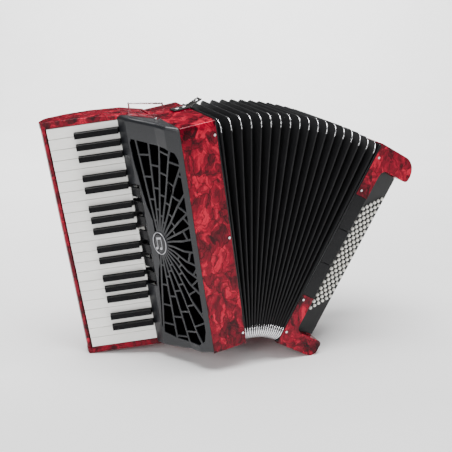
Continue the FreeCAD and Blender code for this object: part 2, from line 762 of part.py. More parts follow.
def button_rows(frame):
    place = frame * board_frame()
    for row, name in enumerate(ROWS):
        body = new_body("buttons")
        body.AllowCompound = True
        sketch = attach(body, "XY_Plane", -8)
        circle = sketch.addGeometry(Part.Circle(Vector(row * 9.9, 90), UP, 3.4))
        sketch.addConstraint(Sketcher.Constraint("Radius", circle, 3.4))
        sketch.setExpression("Constraints[0]", "sizes.button_radius")
        sketch.addConstraint(Sketcher.Constraint("DistanceX", -1, 1, circle, 3, row * 9.9))
        sketch.setExpression("Constraints[1]", f"sizes.button_rows * {row}")
        sketch.addConstraint(Sketcher.Constraint("DistanceY", -1, 1, circle, 3, 90))
        sketch.setExpression("Constraints[2]", f"sizes.button_low + sizes.button_shift * {row}")
        post = body.newObject("PartDesign::Pad", "post")
        post.Profile = sketch
        post.setExpression("Length", "sizes.button_up + 8")
        row_pattern(body, [post])
        finish(body, f"{name}_buttons", place)


def bass_registers(frame):
    third = (size("bar_high") - size("bar_low")) / 3
    for number in range(3):
        low = size("bar_low") + third * number
        bar = box(0.3, 0.2, low + 0.4, 25.9, 3.4, third - 0.8)
        bar = rounded(bar, 0.8, lambda edge: middle(edge).y < 0.3)
        finish(group([bar]), f"bass_register_{number + 1}", frame)


def bass_inside(frame):
    start = "sizes.wall + sizes.gap"
    board = box(26, 15.3, start, 4, "sizes.depth - 15.3 - sizes.wall - sizes.gap", f"sizes.bass_height - 2 * ({start})")
    holes = [box(25, 60 + 44 * (k % 3), 30 + 29 * k, 6, 20, 10) for k in range(12)]
    finish(cut(board, group(holes)), "bass_foundation", frame)
    finish(reed_blocks((25.7, 13.0), 24, 396, 22, 4, 38.0), "bass_reed_blocks", frame)
    rods = []
    for k in range(12):
        rods.append(rod((36 + 3.8 * k, 56 + 5 * (k % 2), 22), (36 + 3.8 * k, 56 + 5 * (k % 2), 380), 1.4))
    finish(group(rods), "bass_machine", frame)


def bass_cover(frame):
    plate = box("sizes.bass_width - 5.7", 58.3, 40.3, 5, "sizes.depth - 14 - 58.6", 335.4)
    slots = [box("sizes.bass_width - 8", 66, 60 + 18 * k, 10, 14, 6) for k in range(17)]
    slots += [box("sizes.bass_width - 8", 154, 60 + 18 * k, 10, 10, 6) for k in range(17)]
    slots.append(rod((70, 73, 356), (100, 73, 356), 5.4))
    finish(cut(plate, group(slots)), "bass_cover", frame)
    button = fuse([rod((82, 73, 356), (98, 73, 356), 5.0), rod((80, 73, 356), (82, 73, 356), 7.0)])
    finish(button, "air_button", frame)
    feet = []
    for y in (50, 176):
        for z in (50, 366):
            foot = rod((size("bass_width") + 0.1, y, z), (size("bass_width") + 5.1, y, z), 6.0)
            feet.append(rounded(foot, 1.5, lambda edge: middle(edge).x > size("bass_width") + 4))
    finish(group(feet), "rubber_feet", frame)


def hand_strap(frame):
    width = size("bass_width")
    bow = size("strap_bow")
    thick = size("strap_thick")
    steps = 12
    low, high = 44.0, 384.0
    inner = []
    for k in range(steps + 1):
        share = k / steps
        inner.append((width + 1.6 + bow * math.sin(math.pi * share) ** 0.8, low + (high - low) * share))
    outer = [(x + thick, z) for x, z in reversed(inner)]
    strap = new_body("strap")
    pad(strap, inner + outer, "sizes.strap_front", "sizes.strap_front + sizes.strap_wide", "XZ_Plane")
    finish(strap, "hand_strap", frame)
    lower = box("sizes.bass_width + 0.1", 92, 30, 5.4, 58, 13.6)
    upper = box("sizes.bass_width - 3.9", 112, 384.3, 9.4, 16, 5.0)
    spindle = rod((80, 120, 384.6), (80, 120, 401.8), 1.95)
    bridge = box(78, 114, 384.3, 12, 12, 5.0)
    finish(group([lower, fuse([upper, spindle, bridge])]), "strap_anchors", frame)
    wheel = doc.addObject("Part::Cylinder", "wheel")
    bind(wheel, Radius=12.0, Height=9.0)
    wheel.Placement = Placement(Vector(80, 120, 392), Rotation())
    finish(cut(wheel, rod((80, 120, 380), (80, 120, 410), 2.0)), "strap_wheel", frame)


# ---------------------------------------------------------------- build

def check_document():
    for item in doc.Objects:
        if "Invalid" in item.State or "Error" in item.State:
            raise RuntimeError(f"{item.Label} did not build: {item.State}")
    for item in finished:
        if item.Shape.isNull() or not item.Shape.isValid():
            raise RuntimeError(f"{item.Label} has no valid shape")


def write_parts():
    os.makedirs("parts", exist_ok=True)
    for item in finished:
        item.Shape.exportStep(os.path.join("parts", f"{item.Label}.step"))


def main():
    fill_sheet()
    treble = treble_frame()
    bass = bass_frame()
    bass_casing(bass)
    button_board(bass)
    button_rows(bass)
    grille(treble)
    keyboard(treble)
    treble_registers(treble)
    treble_casing(treble)
    bellows_frames(treble, bass)
    treble_inside(treble)
    strap_brackets(treble)
    bellows_folds(treble)
    bellows_corners(treble)
    bellows_straps(treble)
    keys(treble)
    bass_registers(bass)
    bass_inside(bass)
    bass_cover(bass)
    hand_strap(bass)
    doc.recompute()
    check_document()
    write_parts()
    for item in finished:
        print(item.Label, len(item.Shape.Solids), round(item.Shape.Volume / 1000, 1), "cm3")


main()
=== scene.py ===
import json
import math

import bpy
import numpy as np
from mathutils import Matrix, Vector


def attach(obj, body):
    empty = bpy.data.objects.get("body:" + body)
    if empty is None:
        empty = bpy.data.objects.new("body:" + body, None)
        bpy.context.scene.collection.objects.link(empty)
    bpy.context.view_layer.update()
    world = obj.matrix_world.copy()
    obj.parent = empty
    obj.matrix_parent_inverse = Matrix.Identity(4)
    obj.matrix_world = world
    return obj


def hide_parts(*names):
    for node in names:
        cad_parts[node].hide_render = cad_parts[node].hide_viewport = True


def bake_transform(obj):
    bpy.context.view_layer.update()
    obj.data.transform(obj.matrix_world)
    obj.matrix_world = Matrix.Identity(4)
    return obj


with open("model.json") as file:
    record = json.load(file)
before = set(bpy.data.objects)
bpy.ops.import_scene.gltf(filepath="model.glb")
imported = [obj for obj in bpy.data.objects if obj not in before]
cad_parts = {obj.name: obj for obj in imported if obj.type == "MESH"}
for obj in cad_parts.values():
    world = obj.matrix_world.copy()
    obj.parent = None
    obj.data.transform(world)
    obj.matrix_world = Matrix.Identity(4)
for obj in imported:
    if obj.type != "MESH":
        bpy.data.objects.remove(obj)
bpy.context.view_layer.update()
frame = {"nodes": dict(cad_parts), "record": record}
nodes = frame["nodes"]
MM = 0.001

# ---------------------------------------------------------------- the CAD's own frames, in mm

LEAN = math.radians(-9.616)
STAND = Vector((-5.3, -95.7, 49.7))
FAN = math.radians(38.5)
FAN_RADIUS = 99.5
FOLDS = 18
DEPTH = 185.0
FOLD_TOP = 425.0
TREBLE = Matrix.Translation(STAND) @ Matrix.Rotation(LEAN, 4, "Y")
FAN_STEP = Vector((FAN_RADIUS * math.sin(FAN), 0, FAN_RADIUS * math.cos(FAN) - FAN_RADIUS))
BASS = TREBLE @ Matrix.Translation(FAN_STEP) @ Matrix.Rotation(FAN, 4, "Y")
SLANT = math.radians(25.0)
BOARD_OUT = Vector((math.sin(SLANT), -math.cos(SLANT), 0))
BOARD_ACROSS = Vector((math.cos(SLANT), math.sin(SLANT), 0))


def basis(place, x, y, z):
    """A frame with its origin at place and the three given axes."""
    matrix = Matrix((x, y, z)).transposed().to_4x4()
    matrix.translation = place
    return matrix


BOARD = BASS @ basis(Vector((40.6, 10.6, 0)) - BOARD_OUT * 4, BOARD_ACROSS, Vector((0, 0, 1)), BOARD_OUT)
PANEL_START = Vector((-127.0, 94.0, 0))
PANEL_ACROSS = (Vector((-93.0, 43.5, 0)) - PANEL_START).normalized()
PANEL_OUT = PANEL_ACROSS.cross(Vector((0, 0, 1)))
PANEL = TREBLE @ basis(PANEL_START, PANEL_ACROSS, Vector((0, 0, 1)), PANEL_OUT)

# ---------------------------------------------------------------- materials


class Nodes:
    """A node tree in the making, with its Principled shader."""

    def __init__(self, name):
        self.material = bpy.data.materials.new(name)
        self.material.use_nodes = True
        self.tree = self.material.node_tree
        self.shader = self.tree.nodes["Principled BSDF"]
        self.place = self.add("ShaderNodeTexCoord").outputs["Object"]

    def add(self, kind, **values):
        node = self.tree.nodes.new(kind)
        for key, value in values.items():
            setattr(node, key, value)
        return node

    def link(self, start, end):
        self.tree.links.new(start, end)

    def stretch(self, scale, turn=(0, 0, 0)):
        node = self.add("ShaderNodeMapping")
        node.inputs["Scale"].default_value = scale
        node.inputs["Rotation"].default_value = turn
        self.link(self.place, node.inputs["Vector"])
        return node.outputs["Vector"]

    def noise(self, where, scale, detail=4.0, rough=0.5, distortion=0.0):
        node = self.add("ShaderNodeTexNoise")
        node.inputs["Scale"].default_value = scale
        node.inputs["Detail"].default_value = detail
        node.inputs["Roughness"].default_value = rough
        node.inputs["Distortion"].default_value = distortion
        self.link(where, node.inputs["Vector"])
        return node.outputs["Fac"]

    def ramp(self, value, stops):
        node = self.add("ShaderNodeValToRGB")
        elements = node.color_ramp.elements
        while len(elements) < len(stops):
            elements.new(0.5)
        for element, (place, color) in zip(elements, stops):
            element.position = place
            element.color = (*color, 1) if len(color) == 3 else color
        self.link(value, node.inputs["Fac"])
        return node.outputs["Color"]

    def grey(self, value, low, high):
        node = self.add("ShaderNodeMapRange")
        node.inputs["To Min"].default_value = low
        node.inputs["To Max"].default_value = high
        self.link(value, node.inputs["Value"])
        return node.outputs["Result"]

    def bump(self, height, strength, distance):
        node = self.add("ShaderNodeBump")
        node.inputs["Strength"].default_value = strength
        node.inputs["Distance"].default_value = distance
        self.link(height, node.inputs["Height"])
        self.link(node.outputs["Normal"], self.shader.inputs["Normal"])

    def set(self, **values):
        for key, value in values.items():
            self.shader.inputs[key.replace("_", " ")].default_value = value
        return self


def grained(name, dark, light, scale, rough, bump, stretch=(1, 1, 1), detail=5.0, **values):
    """A surface whose colour, roughness and height all vary with one grain."""
    made = Nodes(name)
    where = made.stretch(stretch)
    grain = made.noise(where, scale, detail)
    cloud = made.noise(made.place, 14.0, 3.0)
    mixed = made.add("ShaderNodeMath", operation="MULTIPLY_ADD")
    mixed.inputs[1].default_value = 0.45
    made.link(cloud, mixed.inputs[0])
    made.link(grain, mixed.inputs[2])
    made.link(made.ramp(mixed.outputs["Value"], [(0.42, dark), (0.98, light)]),
              made.shader.inputs["Base Color"])
    made.link(made.grey(grain, *rough), made.shader.inputs["Roughness"])
    made.bump(grain, bump[0], bump[1])
    return made.set(**values).material


def pearloid():
    made = Nodes("pearloid_red")
    warp = made.add("ShaderNodeTexNoise")
    warp.inputs["Scale"].default_value = 26.0
    warp.inputs["Detail"].default_value = 3.0
    made.link(made.place, warp.inputs["Vector"])
    bent = made.add("ShaderNodeVectorMath", operation="MULTIPLY_ADD")
    made.link(warp.outputs["Color"], bent.inputs[0])
    bent.inputs[1].default_value = (0.034, 0.034, 0.05)
    made.link(made.stretch((1.0, 1.0, 0.62)), bent.inputs[2])
    cells = []
    for scale in (58.0, 120.0):
        cell = made.add("ShaderNodeTexVoronoi", feature="F1")
        cell.inputs["Scale"].default_value = scale
        made.link(bent.outputs["Vector"], cell.inputs["Vector"])
        part = made.add("ShaderNodeSeparateColor")
        made.link(cell.outputs["Color"], part.inputs["Color"])
        cells.append((part, cell))
    swirl = made.noise(bent.outputs["Vector"], 34.0, 6.0, 0.62, 1.6)
    big = made.add("ShaderNodeMath", operation="MULTIPLY_ADD")
    made.link(cells[0][0].outputs["Red"], big.inputs[0])
    big.inputs[1].default_value = 0.30
    made.link(swirl, big.inputs[2])
    both = made.add("ShaderNodeMath", operation="MULTIPLY_ADD")
    made.link(cells[1][0].outputs["Green"], both.inputs[0])
    both.inputs[1].default_value = 0.22
    made.link(big.outputs["Value"], both.inputs[2])
    stops = [(0.40, (0.010, 0.0, 0.0008)), (0.54, (0.04, 0.0, 0.003)), (0.70, (0.12, 0.0, 0.008)),
             (0.88, (0.24, 0.0, 0.014)), (1.0, (0.50, 0.005, 0.03))]
    colour = made.ramp(both.outputs["Value"], stops)
    for scale, wide, share in ((36.0, 0.03, 0.85), (80.0, 0.04, 0.45)):
        edge = made.add("ShaderNodeTexVoronoi", feature="DISTANCE_TO_EDGE")
        edge.inputs["Scale"].default_value = scale
        made.link(bent.outputs["Vector"], edge.inputs["Vector"])
        vein = made.ramp(edge.outputs["Distance"], [(0.0, (0.12, 0.12, 0.12)), (wide, (1, 1, 1))])
        mix = made.add("ShaderNodeMix", data_type="RGBA", blend_type="MULTIPLY")
        mix.inputs["Factor"].default_value = share
        made.link(colour, mix.inputs["A"])
        made.link(vein, mix.inputs["B"])
        colour = mix.outputs["Result"]
    made.link(colour, made.shader.inputs["Base Color"])
    made.link(made.grey(cells[1][0].outputs["Blue"], 0.22, 0.42), made.shader.inputs["Roughness"])
    made.bump(both.outputs["Value"], 0.35, 0.0012)
    return made.set(Metallic=0.2, Specular_IOR_Level=0.0, Coat_Weight=0.38, Coat_IOR=1.5,
                    Coat_Roughness=0.03).material


def woven(name, dark, light, pitch, bump):
    """Threads that cross each other, in every plane."""
    made = Nodes(name)
    waves = []
    for direction in ("X", "Z", "Y"):
        wave = made.add("ShaderNodeTexWave", bands_direction=direction)
        wave.inputs["Scale"].default_value = 1.0 / pitch / 6.283
        wave.inputs["Distortion"].default_value = 0.4
        made.link(made.place, wave.inputs["Vector"])
        waves.append(wave.outputs["Fac"])
    high = made.add("ShaderNodeMath", operation="MULTIPLY")
    made.link(waves[0], high.inputs[0])
    made.link(waves[1], high.inputs[1])
    total = made.add("ShaderNodeMath", operation="MULTIPLY_ADD")
    made.link(waves[2], total.inputs[0])
    total.inputs[1].default_value = 0.3
    made.link(high.outputs["Value"], total.inputs[2])
    made.link(made.ramp(total.outputs["Value"], [(0.1, dark), (0.9, light)]),
              made.shader.inputs["Base Color"])
    made.bump(total.outputs["Value"], bump, 0.0004)
    return made.set(Roughness=0.9, Specular_IOR_Level=0.0).material


PEARL = pearloid()
MATERIALS = {
    "pearloid": PEARL,
    "black_wood": grained("stained_wood", (0.008, 0.007, 0.006), (0.03, 0.026, 0.022), 90, (0.35, 0.55),
                          (0.3, 0.0004), (1, 1, 0.1)),
    "wood": grained("spruce", (0.36, 0.22, 0.11), (0.66, 0.48, 0.29), 110, (0.5, 0.7), (0.3, 0.0004),
                    (1, 1, 0.08)),
    "chrome": grained("chrome", (0.60, 0.60, 0.62), (0.82, 0.82, 0.84), 60, (0.05, 0.14), (0.05, 0.0002),
                      Metallic=1.0),
    "steel": grained("steel_wire", (0.34, 0.34, 0.36), (0.5, 0.5, 0.52), 160, (0.25, 0.4), (0.1, 0.0002),
                     Metallic=1.0),
    "cover_plastic": grained("cover_plastic", (0.0085, 0.009, 0.011), (0.0145, 0.0155, 0.018), 900,
                             (0.24, 0.34), (0.06, 0.0002), Specular_IOR_Level=0.42),
    "grille_cloth": woven("grille_cloth", (0.0002, 0.0002, 0.00025), (0.0016, 0.0016, 0.0018), 0.0012, 0.5),
    "badge": grained("badge_face", (0.006, 0.006, 0.007), (0.014, 0.014, 0.016), 400, (0.2, 0.3),
                     (0.1, 0.0002)),
    "badge_silver": grained("badge_silver", (0.30, 0.30, 0.32), (0.42, 0.42, 0.44), 500, (0.25, 0.4),
                            (0.1, 0.0002), Metallic=1.0),
    "bellows_cloth": grained("bellows_cloth", (0.004, 0.004, 0.0045), (0.011, 0.011, 0.012), 700,
                             (0.42, 0.62), (0.25, 0.0003), Specular_IOR_Level=0.20),
    "frame_lacquer": grained("frame_lacquer", (0.003, 0.003, 0.0035), (0.007, 0.007, 0.008), 500,
                             (0.14, 0.24), (0.06, 0.0002), Specular_IOR_Level=0.3),
    "corner_metal": grained("corner_metal", (0.62, 0.62, 0.64), (0.86, 0.86, 0.88), 120, (0.14, 0.28),
                            (0.08, 0.0002), Metallic=1.0),
    "leather": grained("leather", (0.007, 0.0065, 0.006), (0.019, 0.018, 0.017), 420, (0.36, 0.58),
                       (0.5, 0.0006), Specular_IOR_Level=0.15),
    "thread": grained("thread", (0.05, 0.05, 0.05), (0.11, 0.11, 0.11), 900, (0.6, 0.8), (0.3, 0.0003)),
    "board_black": grained("board_black", (0.002, 0.002, 0.0026), (0.004, 0.004, 0.0048), 800,
                           (0.32, 0.46), (0.10, 0.0002), Specular_IOR_Level=0.10),
    # near-black material for the painted shade strip behind the bass register bars
    "painted_shade_black": grained("painted_shade_black", (0.002, 0.002, 0.002), (0.006, 0.006, 0.006), 700, (0.85, 0.95),
                    (0.5, 0.0005), Specular_IOR_Level=0.05),
    "rubber": grained("rubber", (0.010, 0.010, 0.010), (0.022, 0.022, 0.022), 500, (0.7, 0.9),
                      (0.3, 0.0003), Specular_IOR_Level=0.15),
    "knurled_plastic": grained("knurled_plastic", (0.010, 0.010, 0.011), (0.02, 0.02, 0.022), 500,
                               (0.35, 0.5), (0.2, 0.0003), Specular_IOR_Level=0.15),
    "button_white": grained("button_cream", (0.90, 0.88, 0.80), (0.97, 0.955, 0.89), 240, (0.16, 0.28),
                            (0.05, 0.0002), Coat_Weight=0.5, Coat_Roughness=0.1),
    "key_white": grained("key_ivory", (0.86, 0.85, 0.81), (0.94, 0.93, 0.89), 60, (0.14, 0.24),
                         (0.04, 0.0002), (1, 1, 6), Coat_Weight=0.5, Coat_Roughness=0.08),
    "sharp_black": grained("sharp_black", (0.002, 0.002, 0.0024), (0.005, 0.005, 0.006), 300, (0.2, 0.32),
                           (0.06, 0.0002), (1, 1, 4), Specular_IOR_Level=0.09),
    "tab_black": grained("tab_black", (0.004, 0.004, 0.0045), (0.009, 0.009, 0.010), 400, (0.18, 0.3),
                         (0.06, 0.0002), Specular_IOR_Level=0.16),
}


SHARP_ANGLE = math.radians(33)
BEVEL_STEPS = 3


def shading_group():
    """Geometry nodes that weld a mesh, shade it smooth and keep its real corners sharp."""
    group = bpy.data.node_groups.new("smooth_with_corners", "GeometryNodeTree")
    group.interface.new_socket("Geometry", in_out="INPUT", socket_type="NodeSocketGeometry")
    group.interface.new_socket("Geometry", in_out="OUTPUT", socket_type="NodeSocketGeometry")
    start = group.nodes.new("NodeGroupInput")
    end = group.nodes.new("NodeGroupOutput")
    weld = group.nodes.new("GeometryNodeMergeByDistance")
    weld.inputs["Distance"].default_value = 2e-6
    plain = group.nodes.new("GeometryNodeRemoveAttribute")
    plain.inputs["Name"].default_value = "custom_normal"
    smooth = group.nodes.new("GeometryNodeSetShadeSmooth")
    smooth.domain = "FACE"
    sharp = group.nodes.new("GeometryNodeSetShadeSmooth")
    sharp.domain = "EDGE"
    sharp.inputs["Shade Smooth"].default_value = False
    angle = group.nodes.new("GeometryNodeInputMeshEdgeAngle")
    test = group.nodes.new("FunctionNodeCompare")
    test.operation = "GREATER_THAN"
    test.inputs["B"].default_value = SHARP_ANGLE
    group.links.new(angle.outputs["Unsigned Angle"], test.inputs["A"])
    group.links.new(test.outputs["Result"], sharp.inputs["Selection"])
    chain = [start.outputs["Geometry"]]
    for node in (weld, plain, smooth, sharp):
        group.links.new(chain[-1], node.inputs["Geometry"])
        chain.append(node.outputs["Geometry"])
    group.links.new(chain[-1], end.inputs["Geometry"])
    return group


SMOOTH = shading_group()


def dress(name, slot, bevel):
    """A CAD node keeps its mesh; its edges are eased by modifiers and its material is a finished one."""
    item = nodes[name]
    item.data.materials.clear()
    item.data.materials.append(MATERIALS[slot])
    shade = item.modifiers.new("shade", "NODES")
    shade.node_group = SMOOTH
    if bevel:
        flat = item.modifiers.new("flat", "DECIMATE")
        flat.decimate_type = "DISSOLVE"
        flat.angle_limit = math.radians(1.0)
        ease = item.modifiers.new("ease", "BEVEL")
        ease.width = bevel * MM
        ease.segments = BEVEL_STEPS
        ease.limit_method = "ANGLE"
        ease.angle_limit = SHARP_ANGLE
        ease.harden_normals = True


# ---------------------------------------------------------------- new pieces


def build(name, points, faces, place, slot, smooth=True, material=None):
    """A mesh from points in mm in a frame of the CAD."""
    mesh = bpy.data.meshes.new(name)
    mesh.from_pydata([(place @ Vector(point)) * MM for point in points], [], faces)
    mesh.update()
    item = bpy.data.objects.new(name, mesh)
    bpy.context.scene.collection.objects.link(item)
    mesh.materials.append(MATERIALS[material or slot])
    for face in mesh.polygons:
        face.use_smooth = smooth
    return item


def loft(rings, caps=True):
    """Points and faces of a skin over rings with equal counts of points."""
    count = len(rings[0])
    points = [point for ring in rings for point in ring]
    faces = []
    for a in range(len(rings) - 1):
        for k in range(count):
            n = (k + 1) % count
            faces.append((a * count + k, a * count + n, (a + 1) * count + n, (a + 1) * count + k))
    if caps:
        faces.append(tuple(reversed(range(count))))
        faces.append(tuple(range((len(rings) - 1) * count, len(rings) * count)))
    return points, faces


def joined(parts):
    """Several (points, faces) as one."""
    points, faces = [], []
    for more, some in parts:
        start = len(points)
        points += more
        faces += [tuple(start + k for k in face) for face in some]
    return points, faces


def lathe(profile, centre, x, y, z, count=20):
    """A turned solid: profile holds (radius, height) from one end to the other."""
    rings = []
    for radius, height in profile:
        ring = []
        for k in range(count):
            turn = k * math.tau / count
            ring.append(centre + x * (radius * math.cos(turn)) + y * (radius * math.sin(turn)) + z * height)
        rings.append(ring)
    return loft(rings)


AX, AY, AZ = Vector((1, 0, 0)), Vector((0, 1, 0)), Vector((0, 0, 1))


ARC_POINTS = 9


def ring_line(turn, inset, corner, offset=0.0):
    """One fold line of the bellows: a rounded rectangle in a plane through the fan's axis."""
    share = turn / FAN
    low = FAN_RADIUS + inset
    high = FAN_RADIUS + FOLD_TOP - share * 7.0 - inset
    back = DEPTH - inset
    flat = []
    for r, y, start in ((high - corner, inset + corner, 0), (high - corner, back - corner, 1),
                        (low + corner, back - corner, 2), (low + corner, inset + corner, 3)):
        for k in range(ARC_POINTS):
            angle = (start - 1) * math.pi / 2 + k * math.pi / 16
            flat.append((r + corner * math.cos(angle), y + corner * math.sin(angle)))
    normal = Vector((math.cos(turn), 0, -math.sin(turn)))
    return [Vector((r * math.sin(turn), y, r * math.cos(turn) - FAN_RADIUS)) + normal * offset for r,
            y in flat]


def folds():
    rings, shares = [], []
    for index in range(2 * FOLDS + 1):
        turn = FAN * index / (2 * FOLDS)
        if index in (0, 2 * FOLDS):
            lines = [(8.0, 10.0, 0.0)]
        elif index % 2:
            lines = [(2.3, 17.0, -0.95), (1.25, 18.0, -0.75), (0.9, 18.3, 0.0), (1.25, 18.0, 0.75),
                     (2.3, 17.0, 0.95)]
        else:
            lines = [(20.6, 8.0, -0.45), (21.0, 8.0, 0.0), (20.6, 8.0, 0.45)]
        for inset, corner, offset in lines:
            rings.append(ring_line(turn, inset, corner, offset))
            shares.append(turn / FAN)
    points, faces = loft(rings, caps=False)
    item = build("bellows_skin", points, faces, TREBLE, "bellows_cloth")
    ride_fan(item)
    skin = item.modifiers.new("thickness", "SOLIDIFY")
    skin.thickness = 0.9 * MM
    skin.offset = 0.0
    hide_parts("bellows_folds")


def ride_fan(item):
    """Bakes the piece's transform into its mesh."""
    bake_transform(item)


def end_frames():
    """The cloth-covered frames that carry the first and the last fold, thinner towards the fan's axis."""
    wedge = 0.0085
    for name, outer_turn, inner_turn in (("treble_fold_frame", 0.0, wedge),
                                         ("bass_fold_frame", FAN, FAN - wedge)):
        rings, shares = [], []
        for turn, inset, corner in ((outer_turn, 0.7, 4.0),
                                    (inner_turn + (outer_turn - inner_turn) * 0.2, 0.7, 4.0),
                                    (inner_turn, 1.6, 4.0), (inner_turn, 9.0, 4.0), (outer_turn, 9.0, 4.0),
                                    (outer_turn, 0.7, 4.0)):
            rings.append(ring_line(turn, inset, corner))
            shares.append(turn / FAN)
        points, faces = loft(rings, caps=False)
        item = build(name, points, faces, TREBLE, "bellows_cloth", material="frame_lacquer")
        ride_fan(item)


def metal_corners():
    """Bent metal caps on the corners of every fold, one mesh with each piece placed at its own fold."""
    parts, shares = [], []
    for fold in range(FOLDS):
        turn = FAN * (fold + 0.5) / FOLDS
        normal = Vector((math.cos(turn), 0, -math.sin(turn)))
        outline = ring_line(turn, 0.7, 18.5)
        middle = sum(outline, Vector()) / len(outline)
        for corner in range(4):
            wide = 0.55 if corner < 2 else 0.95
            first = corner * ARC_POINTS
            path = outline[first:first + ARC_POINTS]
            after = outline[(first + ARC_POINTS) % len(outline)]
            before = outline[first - 1]
            reach = 3.0 if corner < 2 else 12.0
            path = [path[0] + (before - path[0]).normalized() * reach] + path
            path = path + [path[-1] + (after - path[-1]).normalized() * reach]
            rings = []
            for k, point in enumerate(path):
                run = (path[min(k + 1, len(path) - 1)] - path[max(k - 1, 0)]).normalized()
                out = normal.cross(run)
                if out.dot(point - middle) < 0:
                    out = -out
                thin = 0.55 if k in (0, len(path) - 1) else 1.0
                shape = [(-wide - 0.35, -2.6), (-wide - 0.3, 0.0), (-wide * 0.5, 0.38), (wide * 0.5, 0.38),
                         (wide + 0.3, 0.0), (wide + 0.35, -2.6)]
                rings.append([point + normal * (a * thin) + out * b for a, b in shape])
            parts.append(loft(rings))
            shares += [turn / FAN] * (len(rings) * 6)
    points, faces = joined(parts)
    item = build("bellows_metal_corners", points, faces, TREBLE, "corner_metal")
    ride_fan(item)
    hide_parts("bellows_corners")


BUTTON = [(0.6, -7.9), (3.2, -7.9), (3.4, -7.0), (3.4, 0.9), (3.36, 1.6), (3.15, 2.45), (2.7, 3.15),
          (1.95, 3.65),
          (1.0, 3.93), (0.3, 4.0)]
ROWS = ("counter_bass", "bass", "major", "minor", "seventh", "diminished")


def buttons():
    for row, name in enumerate(ROWS):
        parts = []
        for k in range(16):
            centre = Vector((9.9 * row, 84.6 + 6.8 * row + 14.2 * k, 0))
            parts.append(lathe(BUTTON, centre, AX, AY, AZ))
        points, faces = joined(parts)
        item = build(f"{name}_domed_buttons", points, faces, BOARD, "button_white")
        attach(item, f"row_{name}")
        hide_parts(f"{name}_buttons")


def strip(path, across, wide, thick, crown=0.0, count=9):
    """A flat strip with rounded edges along a path; across is the direction of its width."""
    rings = []
    for k, point in enumerate(path):
        run = (path[min(k + 1, len(path) - 1)] - path[max(k - 1, 0)]).normalized()
        up = across.cross(run).normalized()
        ring = []
        for side in (1, -1):
            for j in range(count):
                share = -1 + 2 * j / (count - 1)
                rise = crown * (1 - share * share) if side > 0 else 0
                bulge = thick / 2 * (1 - abs(share) ** 6 * 0.75) + rise
                ring.append(point + across * (share * side * wide / 2) + up * (side * bulge))
        rings.append(ring)
    return loft(rings)


def smooth_path(corners, steps):
    """A Catmull-Rom line through the corners."""
    found = []
    ends = [corners[0] * 2 - corners[1]] + list(corners) + [corners[-1] * 2 - corners[-2]]
    for k in range(1, len(ends) - 2):
        a, b, c, d = ends[k - 1:k + 3]
        for j in range(steps):
            t = j / steps
            found.append(0.5 * ((2 * b) + (c - a) * t + (2 * a - 5 * b + 4 * c - d) * t * t
                                + (3 * b - a - 3 * c + d) * t ** 3))
    return found + [corners[-1]]


def snap(centre, up, radius):
    """The domed cap of a press stud."""
    side = AY.cross(up).normalized()
    profile = [(radius, -0.4), (radius, 0.3), (radius * 0.9, 0.8), (radius * 0.62, 1.25),
               (radius * 0.3, 1.45), (0.1, 1.5)]
    return lathe(profile, centre, AY, side, up)


def stitches(path, across, offset, spacing=5.0, length=3.2):
    """Short threads in a line along a strip."""
    parts = []
    travelled = 0.0
    for a, b in zip(path, path[1:]):
        travelled += (b - a).length
        if travelled < spacing:
            continue
        travelled = 0.0
        run = (b - a).normalized()
        up = across.cross(run).normalized()
        centre = (a + b) / 2 + across * offset + up * 0.05
        profile = [(0.05, -length / 2), (0.32, -length / 2 + 0.4), (0.4, 0), (0.32, length / 2 - 0.4),
                   (0.05, length / 2)]
        parts.append(lathe(profile, centre, across, up, run, 8))
    return parts


def bellows_strap():
    path = smooth_path([Vector((-30, 0, 428.7)), Vector((-16, 0, 428.7)), Vector((-3, 0, 429.0)),
                        Vector((10, 0, 432.4)),
                        Vector((19, 0, 435.9)), Vector((25.3, 0, 438.0))], 6)
    path = [point + AY * 123 for point in path]
    points, faces = strip(path, AY, 22.0, 2.4)
    item = build("top_strap_leather", points, faces, TREBLE, "leather")
    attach(item, "treble")
    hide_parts("top_bellows_strap")
    thread = joined([part for offset in (-9.2, 9.2) for part in top_stitches(path, offset)])
    sewn = build("top_strap_stitches", *thread, TREBLE, "leather", material="thread")
    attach(sewn, "treble")
    studs = joined([snap(Vector((-20, 123, 429.9)), AZ, 5.2), snap(Vector((-7, 123, 430.1)), AZ, 5.2),
                    snap(Vector((17.5, 123, 436.6)), Vector((-0.36, 0, 0.93)), 5.2)])
    metal = build("top_strap_snaps", *studs, TREBLE, "chrome")
    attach(metal, "treble")


def top_stitches(path, offset):
    """A line of thread on the upper face of the top strap."""
    raised = [point + AZ * 1.25 for point in path]
    return stitches(raised, AY, offset)


def bottom_strap():
    path = smooth_path([Vector((-33.6, 0, -1.4)), Vector((-14, 0, -1.4)), Vector((0.5, 0, -1.7)),
                        Vector((3.2, 0, -3.6)),
                        Vector((0.5, 0, -5.8)), Vector((-9, 0, -6.0)), Vector((-19.6, 0, -6.0))], 6)
    path = [point + AY * 93 for point in path]
    points, faces = strip(path, AY, 22.0, 2.0)
    item = build("bottom_strap_leather", points, faces, TREBLE, "leather")
    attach(item, "treble")
    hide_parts("bottom_bellows_strap")


STRAP_END_X = 95.1
STRAP_BOW = 22.0
STRAP_LOW = 44.0
STRAP_REACH = 340.0


